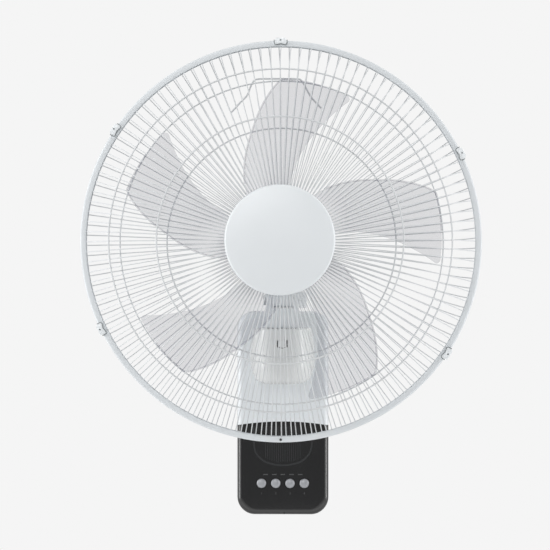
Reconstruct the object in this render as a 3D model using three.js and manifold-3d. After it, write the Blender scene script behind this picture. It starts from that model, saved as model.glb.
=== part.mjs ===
// A wall mounted fan: wall box with keys, swivel neck, motor, five blades and a two-part wire guard.
// Millimetres, +Z up. The wall is the plane Y = 0 and the fan faces -Y.
// The origin is the centre of the wall bracket's back face.

import * as THREE from "three";
import { mergeVertices } from "three/addons/utils/BufferGeometryUtils.js";
import Module from "manifold-3d";

const wasm = await Module();
wasm.setup();

// ---------------------------------------------------------------- driving dimensions

const gap = 0.3; // clearance between pieces that touch
const runningGap = 0.6; // clearance round pieces that turn or slide

// wall box
const baseWidth = 110;
const baseHeight = 244;
const baseDepth = 62;
const baseCorner = 20; // corner radius seen from the front
const baseEdge = 7; // rounding of the front edges
const shellWall = 2.4;
const backCoverDepth = 20;
const backCoverInset = 0.5; // how far the back cover's side stands inside the front cover's
const seamBelowTop = 132.8; // seam between the white and the black cover, at its middle
const seamDrop = 4.5; // how much lower the seam is at the sides

// wall bracket
const bracketWidth = 72;
const bracketHeight = 112;
const bracketThickness = 2;
const bracketHoleRadius = 2.6;
const bracketHoleSpacing = 84;
const screwHeadRoom = 6; // radius of the back cover's holes over the wall screws' heads
const hookWidth = 12;
const hookRise = 8;
const hookReach = 9;
const hookSpacing = 44; // between the two hooks, left to right
const hookHeight = 20; // above the bracket's middle

// keys
const keyCount = 4;
const keyPitch = 17.2;
const keyRadius = 5.75;
const keyProud = 1.6; // how far a key stands out of the panel
const keyTravel = 1.2;
const keyFlange = 1.2;
const keyAboveBottom = 37;
const switchSize = 6;
const switchHeight = 4;
const switchStemRadius = 1.6;
const boardThickness = 1.6;
const boardWidth = 84;
const boardHeight = 56;

// screws and cord inlet of the wall box
const coverScrewRadius = 2;
const coverScrewReach = 14;
const coverScrewBoss = 4.5;
const coverScrewInset = [13, 22]; // from the side and from the end of the base
const glandRadius = 5.5;
const glandBore = 3.2;
const glandFromFront = 26;

// neck turret
const turretRadius = 38;
const turretHeight = 65.5;
const turretTopBelowBaseTop = 18.6;
const turretFillet = 11;
const turretReach = 28; // from the base's front face to the swivel axis
const windowWidth = 44;
const windowHeight = 40;
const neckCapSize = 9;
const neckCapBelowTop = 17.6;

// swivel
const spigotRadius = 10;
const bushWall = 3;
const bushLength = 9;
const columnWidth = 38.6;
const columnDepth = 34;
const forkSlot = 25.6;
const pivotRise = 33; // tilt axis above the turret's roof
const forkEndRadius = 9;
const saddleReach = 26; // from the tilt axis to the front end of the lug under the motor
const tiltPinRadius = 3.5;
const knobRadius = 9.5;
const knobLength = 9;

// swing gears
const gearModule = 1;
const pinionTeeth = 12;
const gearTeeth = 36;
const gearThickness = 6;
const sectorTeeth = 13;
const toothPlay = 0.28;
const gearPlay = 0.2; // added to the distance between the two axes
const swingMotorRadius = 21;
const swingMotorHeight = 16;
const swingShaftRadius = 2.5;

// motor
const axisAboveBaseTop = 80;
const motorRadius = 55;
const motorRearY = -68;
const motorSplitY = -128;
const motorFrontY = -187;
const bossRadius = 22;
const bossLength = 13;
const shaftRadius = 4;
const bearingRadius = 10;
const bearingWidth = 7;
const statorLength = 22;
const statorBehind = 12; // from the middle of the front cover back to the core's middle
const rotorRadius = 25;
const coilWidth = 12;
const coilDepth = 14;

// guards
const rimY = -265;
const rimRadius = 216;
const rimBand = 6.5;
const rimWall = 1.6;
const rimPlay = 0.4;
const wireRadius = 1.1;
const wireCount = 40;
const outerRingRadius = 180;
const middleRingRadius = 128;
const edgeRingPlay = 1.7; // between a guard's edge ring and the wall of the rim
const frontRingDepths = [66, 46, 27]; // middle ring, outer ring and shoulder, in front of the rim
const rearRingDepths = [63.4, 57, 39]; // middle ring, outer ring and shoulder, behind the rim
const shoulderShare = 0.57; // where the radial wires bend down, from the outer ring to the edge ring
const badgeRadius = 57;
const badgeRingRadius = 50;
const badgeRingDepth = 74.5;
const badgeThickness = 6;
const guardNutRadius = 38;
const clipWidth = 14;
const clipStandoff = 2.6;

// fan
const bladeCount = 5;
const bladeTipRadius = 174;
const bladeThickness = 2;
const bladePlaneY = -262;
const hubRadius = 42;
const hubLength = 42;
const hubWall = 2.5;
const capRadius = 16;
const capLength = 15;
const bossWall = 9; // outer radius of the hub's inner sleeve
const drivePinRadius = 1.5;
const drivePinLength = 8;
const bladeCamber = 3;
const bladeDepth = 36; // from the leading to the trailing edge, along the fan axis
// radius as a share of the tip's, trailing and leading edge angle in degrees from +X, share of the depth
const bladeStations = [
  [(hubRadius - hubWall / 2) / bladeTipRadius, 133, 84, 1],
  [0.383, 124.2, 81, 1],
  [0.559, 112.8, 77.5, 0.97],
  [0.701, 104.4, 73, 0.92],
  [0.816, 99, 69.2, 0.86],
  [0.948, 92.6, 64.8, 0.78],
  [1, 89.6, 69, 0.67],
];

// clips on the ring, as degrees from the top, and the bow on the rear guard as x and z from the fan axis,
// in shares of the outer ring's radius
const clipAngles = [0, 64, 124, 244, 304];
const lockScrewRadius = 2;
const handlePoints = [
  [-0.314, 0.806],
  [-0.222, 0.9],
  [-0.172, 0.994],
  [-0.133, 1.014],
  [0.1, 1.014],
  [0.144, 0.978],
  [0.2, 0.889],
  [0.248, 0.833],
];
const badgeRingHalf = 2.5;
const rearPlateRadius = 33;
const rearPlateHalf = 7;

// ---------------------------------------------------------------- places worked out from them

const baseTop = baseHeight / 2;
const axisZ = baseTop + axisAboveBaseTop;
const baseFrontY = -baseDepth;
const coverSplitY = -(bracketThickness + gap + backCoverDepth);
const turretTop = baseTop - turretTopBelowBaseTop;
const turretBottom = turretTop - turretHeight;
const turretMiddle = (turretTop + turretBottom) / 2;
const swivelY = baseFrontY - turretReach;
const turretRoof = shellWall + gap;
const pivotZ = turretTop + pivotRise;
const keyZ = -baseTop + keyAboveBottom;
const seamZ = baseTop - seamBelowTop;
const keyBackY = baseFrontY + shellWall + gap + keyFlange;
const boardFrontY = keyBackY + keyTravel + 2 * gap + switchHeight;
const glandY = baseFrontY + glandFromFront;
const coverScrewX = baseWidth / 2 - coverScrewInset[0];
const coverScrewZ = baseTop - coverScrewInset[1];
const coverScrewPlaces = [-1, 1].flatMap((side) => [
  [side * coverScrewX, -coverScrewZ],
  [side * coverScrewX, coverScrewZ],
]);

const neckCapZ = turretTop - neckCapBelowTop;
const bushOuter = spigotRadius + gap + bushWall;
const bushFlange = 1.5;
const yokeBottom = turretTop + 2 * gap + bushFlange;
const retainerTop = turretTop - bushLength - gap;
const retainerBottom = retainerTop - 3;
const gearTop = retainerBottom - gap;
const gearBottom = gearTop - gearThickness;
const gearDistance = (gearModule * (pinionTeeth + gearTeeth)) / 2 + gearPlay;
const swingMotorBottom = turretBottom + shellWall + gap;
const swingMotorTop = swingMotorBottom + swingMotorHeight;

const statorRadius = motorRadius - shellWall - gap;
const rearPlateY = motorFrontY - gap - wireRadius;
const bossFrontY = motorFrontY - bossLength;
const frontBearingY = motorFrontY + shellWall + gap + bearingWidth / 2;
const rearBearingY = motorRearY - shellWall - gap - bearingWidth / 2;
const statorY = (motorSplitY + motorFrontY) / 2 + statorBehind;
const hubBackY = bladePlaneY + hubLength / 2;
const hubFrontY = bladePlaneY - hubLength / 2;
const capBackY = hubFrontY - gap;
const shaftFrontY = hubFrontY - capLength * 0.6;
const badgeBackY = rimY - badgeRingDepth - wireRadius - gap;
const edgeRingRadius = rimRadius - rimWall - wireRadius - edgeRingPlay;
const shoulderRadius = outerRingRadius + shoulderShare * (edgeRingRadius - outerRingRadius);
const rimHalf = 2 * wireRadius + 1.5 * gap + rimWall + rimPlay;

// ---------------------------------------------------------------- materials

const plastic = (color, roughness) => new THREE.MeshStandardMaterial({ color, roughness, metalness: 0 });
const metal = (color, roughness) => new THREE.MeshStandardMaterial({ color, roughness, metalness: 1 });

const whiteGloss = plastic(0xe6ebee, 0.25);
const blackGloss = plastic(0x1d1f21, 0.12);
const greyPlastic = plastic(0xb9bec2, 0.5);
const silverKey = plastic(0xb4b7bd, 0.35);
const coatedWire = plastic(0xe2e5e6, 0.35);
const clearBlade = plastic(0xe2e4e8, 0.2);
clearBlade.transparent = true;
clearBlade.opacity = 0.6;
const boardGreen = plastic(0x2f6b45, 0.6);
const darkPlastic = plastic(0x303235, 0.5);
const steel = metal(0xaab0b4, 0.35);
const castMetal = metal(0x9a9da0, 0.6);
const copper = metal(0xb0703c, 0.4);
const brass = metal(0xb59a5b, 0.4);

// ---------------------------------------------------------------- solids

// The geometry as a manifold solid, with its faces turned out if they point in.
function solid(geometry) {
  const bare = new THREE.BufferGeometry();
  const flat = geometry.index ? geometry.toNonIndexed() : geometry;
  bare.setAttribute("position", flat.getAttribute("position").clone());
  const merged = mergeVertices(bare, 1e-4);
  const triVerts = new Uint32Array(merged.index.array);
  if (signedVolume(merged) < 0) {
    for (let i = 0; i < triVerts.length; i += 3) {
      [triVerts[i + 1], triVerts[i + 2]] = [triVerts[i + 2], triVerts[i + 1]];
    }
  }
  return new wasm.Manifold(
    new wasm.Mesh({ numProp: 3, vertProperties: merged.attributes.position.array, triVerts }),
  );
}

function signedVolume(geometry) {
  const p = geometry.attributes.position;
  const index = geometry.index.array;
  const [a, b, c] = [new THREE.Vector3(), new THREE.Vector3(), new THREE.Vector3()];
  let sum = 0;
  for (let i = 0; i < index.length; i += 3) {
    a.fromBufferAttribute(p, index[i]);
    b.fromBufferAttribute(p, index[i + 1]);
    c.fromBufferAttribute(p, index[i + 2]);
    sum += a.dot(b.cross(c));
  }
  return sum / 6;
}

const join = (...parts) => parts.map(asSolid).reduce((sum, part) => sum.add(part));
const cut = (body, ...tools) => tools.map(asSolid).reduce((rest, tool) => rest.subtract(tool), asSolid(body));
const common = (a, b) => asSolid(a).intersect(asSolid(b));
const asSolid = (part) => (part.isBufferGeometry ? solid(part) : part);

function geometryOf(part) {
  const made = asSolid(part).getMesh();
  const geometry = new THREE.BufferGeometry();
  const points = new Float32Array(made.numVert * 3);
  for (let i = 0; i < made.numVert; i++) {
    points.set(made.vertProperties.subarray(i * made.numProp, i * made.numProp + 3), i * 3);
  }
  geometry.setAttribute("position", new THREE.BufferAttribute(points, 3));
  geometry.setIndex(new THREE.BufferAttribute(new Uint32Array(made.triVerts), 1));
  geometry.computeVertexNormals();
  return geometry;
}

function piece(name, part, material, group) {
  const mesh = new THREE.Mesh(geometryOf(part), material);
  mesh.name = name;
  group.add(mesh);
  return mesh;
}

// A box between two corners.
function block([x0, x1], [y0, y1], [z0, z1]) {
  const box = new THREE.BoxGeometry(Math.abs(x1 - x0), Math.abs(y1 - y0), Math.abs(z1 - z0));
  return box.translate((x0 + x1) / 2, (y0 + y1) / 2, (z0 + z1) / 2);
}

// Cylinders along Y (fan axis), Z (swivel axis) and X (tilt axis), between two places on the axis.
function rodY(radius, y0, y1, { x = 0, z = 0, sides = 20 } = {}) {
  const rod = new THREE.CylinderGeometry(radius, radius, Math.abs(y1 - y0), sides);
  return rod.translate(x, (y0 + y1) / 2, z);
}
function rodZ(radius, z0, z1, { x = 0, y = 0, sides = 20 } = {}) {
  const rod = new THREE.CylinderGeometry(radius, radius, Math.abs(z1 - z0), sides).rotateX(Math.PI / 2);
  return rod.translate(x, y, (z0 + z1) / 2);
}
function rodX(radius, x0, x1, { y = 0, z = 0, sides = 16 } = {}) {
  const rod = new THREE.CylinderGeometry(radius, radius, Math.abs(x1 - x0), sides).rotateZ(Math.PI / 2);
  return rod.translate((x0 + x1) / 2, y, z);
}

// A ring or dome turned about Y, from [radius, y] points.
function turnedY(points, segments = 24) {
  return new THREE.LatheGeometry(points.map(([r, y]) => new THREE.Vector2(r, y)), segments);
}
// The same about Z, from [radius, z] points.
function turnedZ(points, segments = 24) {
  return turnedY(points, segments).rotateX(Math.PI / 2);
}
const ringY = (inner, outer, y0, y1, segments = 24) =>
  turnedY([[inner, y0], [outer, y0], [outer, y1], [inner, y1], [inner, y0]], segments);
const ringZ = (inner, outer, z0, z1, segments = 20) =>
  turnedZ([[inner, z0], [outer, z0], [outer, z1], [inner, z1], [inner, z0]], segments);

function roundedRectangle(width, height, radius) {
  const [x, y, r] = [width / 2, height / 2, radius];
  const shape = new THREE.Shape();
  shape.moveTo(-x + r, -y).lineTo(x - r, -y).absarc(x - r, -y + r, r, -Math.PI / 2, 0, false);
  shape.lineTo(x, y - r).absarc(x - r, y - r, r, 0, Math.PI / 2, false);
  shape.lineTo(-x + r, y).absarc(-x + r, y - r, r, Math.PI / 2, Math.PI, false);
  shape.lineTo(-x, -y + r).absarc(-x + r, -y + r, r, Math.PI, 1.5 * Math.PI, false);
  return shape;
}

// An outline in X and Z, extruded along Y from backY to frontY, with its front edge rounded.
function slab(shape, backY, frontY, edge = 0) {
  const depth = backY - frontY - edge;
  const bevel = { bevelThickness: edge, bevelSize: edge, bevelOffset: -edge, bevelSegments: 3 };
  const options = { depth, curveSegments: 4, bevelEnabled: edge > 0, ...bevel };
  const made = new THREE.ExtrudeGeometry(shape, options);
  made.rotateX(Math.PI / 2).translate(0, backY, 0);
  if (edge === 0) return made;
  const beyond = 2 * baseWidth;
  return common(made, block([-beyond, beyond], [backY, frontY], [-beyond, beyond]));
}

// ---------------------------------------------------------------- wall box

function wallBracket() {
  const plate = slab(roundedRectangle(bracketWidth, bracketHeight, 6), 0, -bracketThickness);
  const back = -bracketThickness;
  const hooks = [-1, 1].map((side) => {
    const x = [(side * hookSpacing) / 2 - hookWidth / 2, (side * hookSpacing) / 2 + hookWidth / 2];
    const foot = block(x, [back + 1, back - hookReach], [hookHeight, hookHeight + bracketThickness]);
    const tip = back - hookReach;
    const tongue = block(x, [tip + bracketThickness, tip], [hookHeight, hookHeight + hookRise]);
    return join(foot, tongue);
  });
  const holes = [-1, 1].map((side) => {
    return rodY(bracketHoleRadius, 1, back - 1, { z: (side * bracketHoleSpacing) / 2 });
  });
  return cut(join(plate, ...hooks), ...holes);
}

function backCover() {
  const back = -gap * 2;
  const form = (inset) => roundedRectangle(baseWidth - 2 * inset, baseHeight - 2 * inset, baseCorner - inset);
  const outer = slab(form(backCoverInset), back, coverSplitY + gap);
  const wallY = -(bracketThickness + gap);
  const inside = slab(form(backCoverInset + shellWall), wallY - shellWall, coverSplitY);
  const recess = block(
    [-bracketWidth / 2 - gap, bracketWidth / 2 + gap],
    [1, wallY],
    [-bracketHeight / 2 - gap, bracketHeight / 2 + gap],
  );
  const slots = [-1, 1].map((side) => {
    const x = (side * hookSpacing) / 2;
    const half = hookWidth / 2 + runningGap;
    const heights = [hookHeight - runningGap, hookHeight + 2 * hookRise];
    return block([x - half, x + half], [1, coverSplitY], heights);
  });
  const holes = coverScrewPlaces.map(([x, z]) => {
    return rodY(coverScrewRadius + gap, 1, coverSplitY, { x, z, sides: 12 });
  });
  const headHoles = [-1, 1].map((side) => {
    return rodY(screwHeadRoom, 1, coverSplitY, { z: (side * bracketHoleSpacing) / 2, sides: 16 });
  });
  return cut(outer, inside, recess, ...slots, ...holes, ...headHoles);
}

// A screw from behind, through the back cover and into a boss of the front shell.
function coverScrew([x, z]) {
  const seat = -(bracketThickness + gap) - shellWall - gap;
  const head = rodY(coverScrewRadius + 1.6, seat, seat - 1.6, { x, z, sides: 10 });
  const shank = rodY(coverScrewRadius, seat - 1, coverSplitY - coverScrewReach + gap, { x, z, sides: 10 });
  return join(head, shank);
}

// The front shell before it is parted into its white and its black piece.
function frontShell() {
  const outer = slab(roundedRectangle(baseWidth, baseHeight, baseCorner), coverSplitY, baseFrontY, baseEdge);
  const inside = slab(
    roundedRectangle(baseWidth - 2 * shellWall, baseHeight - 2 * shellWall, baseCorner - shellWall),
    coverSplitY + 1,
    baseFrontY + shellWall,
    baseEdge - shellWall,
  );
  return cut(outer, inside);
}

// The space below the seam, whose top edge arches up to the middle.
function belowSeam(lift) {
  const half = baseWidth / 2;
  const middle = seamZ + lift;
  const low = -baseHeight;
  const shape = new THREE.Shape();
  const ends = middle - seamDrop;
  shape.moveTo(-2 * half, low).lineTo(2 * half, low).lineTo(2 * half, ends).lineTo(half, ends);
  shape.quadraticCurveTo(0, middle + seamDrop, -half, ends).lineTo(-2 * half, ends);
  return new THREE.ExtrudeGeometry(shape, { depth: 2 * baseDepth, curveSegments: 8, bevelEnabled: false })
    .rotateX(Math.PI / 2)
    .translate(0, baseDepth / 2, 0);
}

function frontCover(shell) {
  const [half, rise] = [windowWidth / 2, windowHeight / 2];
  const heights = [turretMiddle - rise, turretMiddle + rise];
  const window = block([-half, half], [coverSplitY, baseFrontY - 1], heights);
  const bosses = coverScrewPlaces.filter(([, z]) => z > 0).map(screwBoss);
  return join(cut(shell, belowSeam(gap), window), ...bosses);
}

// A boss inside the front shell that takes a cover screw.
function screwBoss([x, z]) {
  const boss = rodY(coverScrewBoss, coverSplitY - gap, baseFrontY + shellWall / 2, { x, z, sides: 12 });
  const bore = rodY(coverScrewRadius + gap, 0, coverSplitY - coverScrewReach, { x, z, sides: 12 });
  return cut(boss, bore);
}

function keyPlaces() {
  return Array.from({ length: keyCount }, (_, i) => (i - (keyCount - 1) / 2) * keyPitch);
}

function controlPanel(shell) {
  const keyHoles = keyPlaces().map((x) => {
    return rodY(keyRadius + runningGap / 2, coverSplitY, baseFrontY - 1, { x, z: keyZ, sides: 16 });
  });
  const inlet = rodZ(glandRadius + gap, -baseTop - 1, -baseTop + 3 * shellWall, { y: glandY, sides: 16 });
  const bosses = coverScrewPlaces.filter(([, z]) => z < 0).map(screwBoss);
  return join(cut(common(shell, belowSeam(0)), ...keyHoles, inlet), ...bosses);
}

function controlBoard() {
  const half = boardWidth / 2;
  const front = boardFrontY;
  const heights = [keyZ - boardHeight / 2, keyZ + boardHeight / 2];
  const board = block([-half, half], [front + boardThickness, front], heights);
  const corners = coverScrewPlaces.map(([x, z]) => {
    return rodY(coverScrewBoss + gap, front + 3, front - 3, { x, z, sides: 12 });
  });
  return cut(board, ...corners);
}

function keySwitch(x) {
  const half = switchSize / 2;
  const top = boardFrontY - switchHeight;
  const body = block([x - half, x + half], [boardFrontY - gap, top], [keyZ - half, keyZ + half]);
  const stem = rodY(switchStemRadius, top + 0.5, keyBackY + keyTravel + gap, { x, z: keyZ, sides: 12 });
  return join(body, stem);
}

// A key: a round cap with a flange behind the panel, so that it can't fall out.
function key(x) {
  const front = baseFrontY - keyProud;
  const back = baseFrontY + shellWall + gap;
  const cap = turnedY([
    [0, keyBackY], [keyRadius, keyBackY], [keyRadius, front + 0.8], [keyRadius - 0.8, front], [0, front],
  ], 16);
  const flange = rodY(keyRadius + 1.4, keyBackY, back, { sides: 16 });
  return join(cap, flange).translate([x, 0, keyZ]);
}

function signalReceiver() {
  const half = 4;
  const z = keyZ + boardHeight / 2 - 8;
  return join(
    block([-half, half], [boardFrontY - gap, boardFrontY - 4], [z - half, z + half]),
    new THREE.SphereGeometry(2.5, 10, 6).translate(0, boardFrontY - 4, z),
  );
}

function cordGland() {
  const low = -baseTop - 2;
  const high = -baseTop + 2.5 * shellWall;
  const neck = glandRadius - gap;
  const groove = [-baseTop + 0.5 - gap, -baseTop + shellWall + 0.5 + gap];
  return turnedZ([
    [glandBore, low], [glandRadius + 1, low], [glandRadius + 1, groove[0] - 0.5], [neck, groove[0]],
    [neck, high], [glandBore, high], [glandBore, low],
  ], 16).translate(0, glandY, 0);
}

// ---------------------------------------------------------------- neck

// Points of a quarter round from [x0, y0] to [x1, y1] about [cx, cy], without its first point.
function arcPoints(cx, cy, radius, from, to, steps = 3) {
  return Array.from({ length: steps }, (_, i) => {
    const a = from + ((to - from) * (i + 1)) / steps;
    return [cx + radius * Math.cos(a), cy + radius * Math.sin(a)];
  });
}

function turretForm(radius, bottom, top, fillet) {
  const profile = [[0, bottom], [radius - fillet, bottom]];
  profile.push(...arcPoints(radius - fillet, bottom + fillet, fillet, -Math.PI / 2, 0));
  profile.push([radius, top], [0, top]);
  return turnedZ(profile, 32).translate(0, swivelY, 0);
}

function neckHousing() {
  const outer = turretForm(turretRadius, turretBottom, turretTop, turretFillet);
  const [floor, roof] = [turretBottom + shellWall, turretTop - turretRoof];
  const inner = turretForm(turretRadius - shellWall, floor, roof, turretFillet - shellWall);
  const roofHole = rodZ(bushOuter + gap, turretTop - 2 * turretRoof, turretTop + 1, { y: swivelY });
  const around = [-turretRadius, turretRadius];
  const behindFace = block(around, [0, baseFrontY - gap], [turretBottom - 1, turretTop + 1]);
  return cut(outer, inner, roofHole, behindFace, neckCapForm(gap, 2 * shellWall));
}

// A small square cap in the turret's front, over the screw that keeps the swivel in.
function neckCapForm(grow, depth) {
  const half = neckCapSize / 2 + grow;
  const front = swivelY - turretRadius - 1;
  return block([-half, half], [front, front + 1 + depth], [neckCapZ - half, neckCapZ + half]);
}

function neckCap() {
  const face = turretForm(turretRadius, turretBottom, turretTop, turretFillet);
  return common(neckCapForm(0, shellWall + 1), face);
}

function swingBush() {
  const inner = spigotRadius + gap;
  const low = turretTop - bushLength;
  const flange = [turretTop + gap, turretTop + gap + bushFlange];
  return turnedZ([
    [inner, low], [bushOuter, low], [bushOuter, flange[0]], [bushOuter + 4, flange[0]],
    [bushOuter + 4, flange[1]], [inner, flange[1]], [inner, low],
  ], 20).translate(0, swivelY, 0);
}

// A spur gear's outline: straight-sided teeth with play, "teeth" of them about angle "middle".
function gearShape(pitchTeeth, middle, teeth) {
  const pitchRadius = (gearModule * pitchTeeth) / 2;
  const tip = pitchRadius + 0.85 * gearModule;
  const root = pitchRadius - 1.1 * gearModule;
  const half = (Math.PI * gearModule) / 4 - toothPlay / 2;
  const slope = Math.tan(THREE.MathUtils.degToRad(20));
  const tipHalf = (half - slope * (tip - pitchRadius)) / tip;
  const rootHalf = (half + slope * (pitchRadius - root)) / root;
  const step = (2 * Math.PI) / pitchTeeth;
  const points = [];
  for (let k = 0; k < teeth; k++) {
    const a = middle + (k - (teeth - 1) / 2) * step;
    for (const [r, off] of [[root, -rootHalf], [tip, -tipHalf], [tip, tipHalf], [root, rootHalf]]) {
      points.push(new THREE.Vector2(r * Math.cos(a + off), r * Math.sin(a + off)));
    }
  }
  return points;
}

function swingPinion() {
  const teeth = gearShape(pinionTeeth, 0, pinionTeeth);
  const options = { depth: gearThickness, bevelEnabled: false };
  const gear = new THREE.ExtrudeGeometry(new THREE.Shape(teeth), options).translate(0, 0, gearBottom);
  const shaft = rodZ(swingShaftRadius, swingMotorTop - 4, gearTop + 1, { sides: 16 });
  return join(gear, shaft);
}

// The toothed sector on the swivel's spigot, facing the pinion.
function swingGear() {
  const teeth = gearShape(gearTeeth, Math.PI, sectorTeeth);
  const sector = new THREE.ExtrudeGeometry(new THREE.Shape([...teeth, new THREE.Vector2(0, 0)]), {
    depth: gearThickness,
    bevelEnabled: false,
  });
  const hub = rodZ(spigotRadius + bushWall + 1, gearBottom, gearTop);
  const bore = rodZ(spigotRadius + gap, gearBottom - 1, gearTop + 1);
  return cut(join(sector.translate(0, 0, gearBottom), hub), bore);
}

function swingMotor() {
  const centre = { x: -(gearDistance - swingMotorRadius * 0.83), y: swivelY, sides: 28 };
  const shaft = { x: -gearDistance, y: swivelY, sides: 20 };
  const can = rodZ(swingMotorRadius, swingMotorBottom, swingMotorTop, centre);
  const neck = rodZ(swingShaftRadius + 2, swingMotorTop - 1, swingMotorTop + 3, shaft);
  const bore = rodZ(swingShaftRadius + gap, swingMotorTop - 4 - gap, swingMotorTop + 4, shaft);
  return cut(join(can, neck), bore);
}

// The column above the turret with its fork, and the spigot that turns in the bush.
function swivelYoke() {
  const half = columnDepth / 2;
  const shape = new THREE.Shape();
  const shoulder = pivotZ - forkEndRadius;
  shape.moveTo(-half, yokeBottom).lineTo(half, yokeBottom).lineTo(half, yokeBottom + 6);
  shape.lineTo(forkEndRadius, shoulder).lineTo(forkEndRadius, pivotZ);
  shape.absarc(0, pivotZ, forkEndRadius, 0, Math.PI, false);
  shape.lineTo(-forkEndRadius, shoulder).lineTo(-half, yokeBottom + 6).lineTo(-half, yokeBottom);
  const options = { depth: columnWidth, curveSegments: 6, bevelEnabled: false };
  const column = new THREE.ExtrudeGeometry(shape, options);
  column.translate(0, 0, -columnWidth / 2).rotateX(Math.PI / 2).rotateZ(Math.PI / 2);
  const spigot = rodZ(spigotRadius, gearBottom - 2, yokeBottom + 1);
  const slotHeights = [shoulder - 2 * gap, pivotZ + 2 * forkEndRadius];
  const slot = block([-forkSlot / 2, forkSlot / 2], [-half - 1, half + 1], slotHeights);
  const pinHole = rodX(tiltPinRadius + gap, -columnWidth, columnWidth, { z: pivotZ });
  return cut(join(column, spigot), slot, pinHole);
}

function swivelRetainer() {
  return ringZ(spigotRadius + gap, spigotRadius + bushWall + 1, retainerBottom, retainerTop);
}

// The pin has a head at the left and its knob at the right.
function tiltPin() {
  const half = columnWidth / 2;
  const head = rodX(tiltPinRadius + 2.5, -half - gap - 3, -half - gap, { z: pivotZ });
  const shank = rodX(tiltPinRadius, -half - gap - 1, half + gap + knobLength / 2, { z: pivotZ });
  return join(head, shank);
}

function tiltKnob() {
  const inner = columnWidth / 2 + gap;
  const body = rodX(knobRadius, inner, inner + knobLength, { z: pivotZ, sides: 24 });
  const bore = rodX(tiltPinRadius + gap, inner - 1, inner + knobLength / 2 + gap, { z: pivotZ });
  const flutes = Array.from({ length: 6 }, (_, i) => {
    const a = (i * Math.PI) / 3;
    const y = (knobRadius + 1) * Math.cos(a);
    const z = pivotZ + (knobRadius + 1) * Math.sin(a);
    return rodX(2, inner + 2, inner + knobLength + 1, { y, z, sides: 6 });
  });
  return cut(body, bore, ...flutes);
}

// ---------------------------------------------------------------- motor, about the fan axis (Y)

function motorRearCover() {
  const inner = motorRadius - shellWall;
  const round = 16;
  const outside = [[0, motorRearY], [motorRadius - round, motorRearY]];
  outside.push(...arcPoints(motorRadius - round, motorRearY - round, round, Math.PI / 2, 0));
  outside.push([motorRadius, motorSplitY + gap / 2], [0, motorSplitY + gap / 2]);
  const inside = [[0, motorRearY - shellWall], [motorRadius - round, motorRearY - shellWall]];
  inside.push(...arcPoints(motorRadius - round, motorRearY - round, round - shellWall, Math.PI / 2, 0));
  inside.push([inner, motorSplitY - 1], [0, motorSplitY - 1]);
  const seat = bearingSeat(rearBearingY - bearingWidth / 2, motorRearY - 1);
  return join(cut(turnedY(outside), turnedY(inside)), seat);
}

function motorFrontCover() {
  const rear = motorSplitY - gap / 2;
  const front = motorFrontY;
  const inner = motorRadius - shellWall;
  const bore = shaftRadius + runningGap;
  const shell = turnedY([
    [motorRadius, rear], [motorRadius, front + 6], [motorRadius - 6, front], [bossRadius, front],
    [bossRadius, bossFrontY], [bore, bossFrontY], [bore, front + shellWall], [inner - 6, front + shellWall],
    [inner, front + 8], [inner, rear], [motorRadius, rear],
  ]);
  return join(shell, bearingSeat(frontBearingY + bearingWidth / 2, front + 1));
}

// A ring wall round a bearing, from its open end into the cover's end wall.
function bearingSeat(openEnd, wallY) {
  return ringY(bearingRadius + gap, bearingRadius + gap + 3, openEnd, wallY, 24);
}

function motorStator() {
  const half = statorLength / 2;
  return ringY(rotorRadius + runningGap, statorRadius, statorY - half, statorY + half);
}

// One end of the windings: a rounded ring against the core's face.
function motorCoil(side) {
  const near = statorY + side * (statorLength / 2 + gap);
  const far = near + side * coilWidth;
  const inner = rotorRadius + 4;
  const outer = inner + coilDepth;
  return turnedY([
    [inner, near], [outer, near], [outer, far - side * 3], [outer - 3, far],
    [inner + 3, far], [inner, far - side * 3], [inner, near],
  ], 20);
}

function bearing(y) {
  return ringY(shaftRadius + gap, bearingRadius, y - bearingWidth / 2, y + bearingWidth / 2, 16);
}

// The lug under the motor that sits in the swivel's fork and turns on the tilt pin.
function tiltLug() {
  const z = pivotZ - axisZ;
  const half = forkSlot / 2 - gap;
  const eye = rodX(forkEndRadius, -half, half, { y: swivelY, z, sides: 28 });
  const rear = swivelY + forkEndRadius;
  const web = block([-half, half], [swivelY - forkEndRadius, rear], [z, -motorRadius + 6]);
  const saddle = block([-half, half], [swivelY - saddleReach, rear], [-motorRadius - 1, -motorRadius + 8]);
  const pinHole = rodX(tiltPinRadius + gap, -columnWidth, columnWidth, { y: swivelY, z, sides: 16 });
  const reach = motorRadius + gap;
  const motorSpace = turnedY([[0, 0], [reach, 0], [reach, 2 * motorSplitY], [0, 2 * motorSplitY]]);
  return cut(join(eye, web, saddle), motorSpace, pinHole);
}

// ---------------------------------------------------------------- guards

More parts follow.
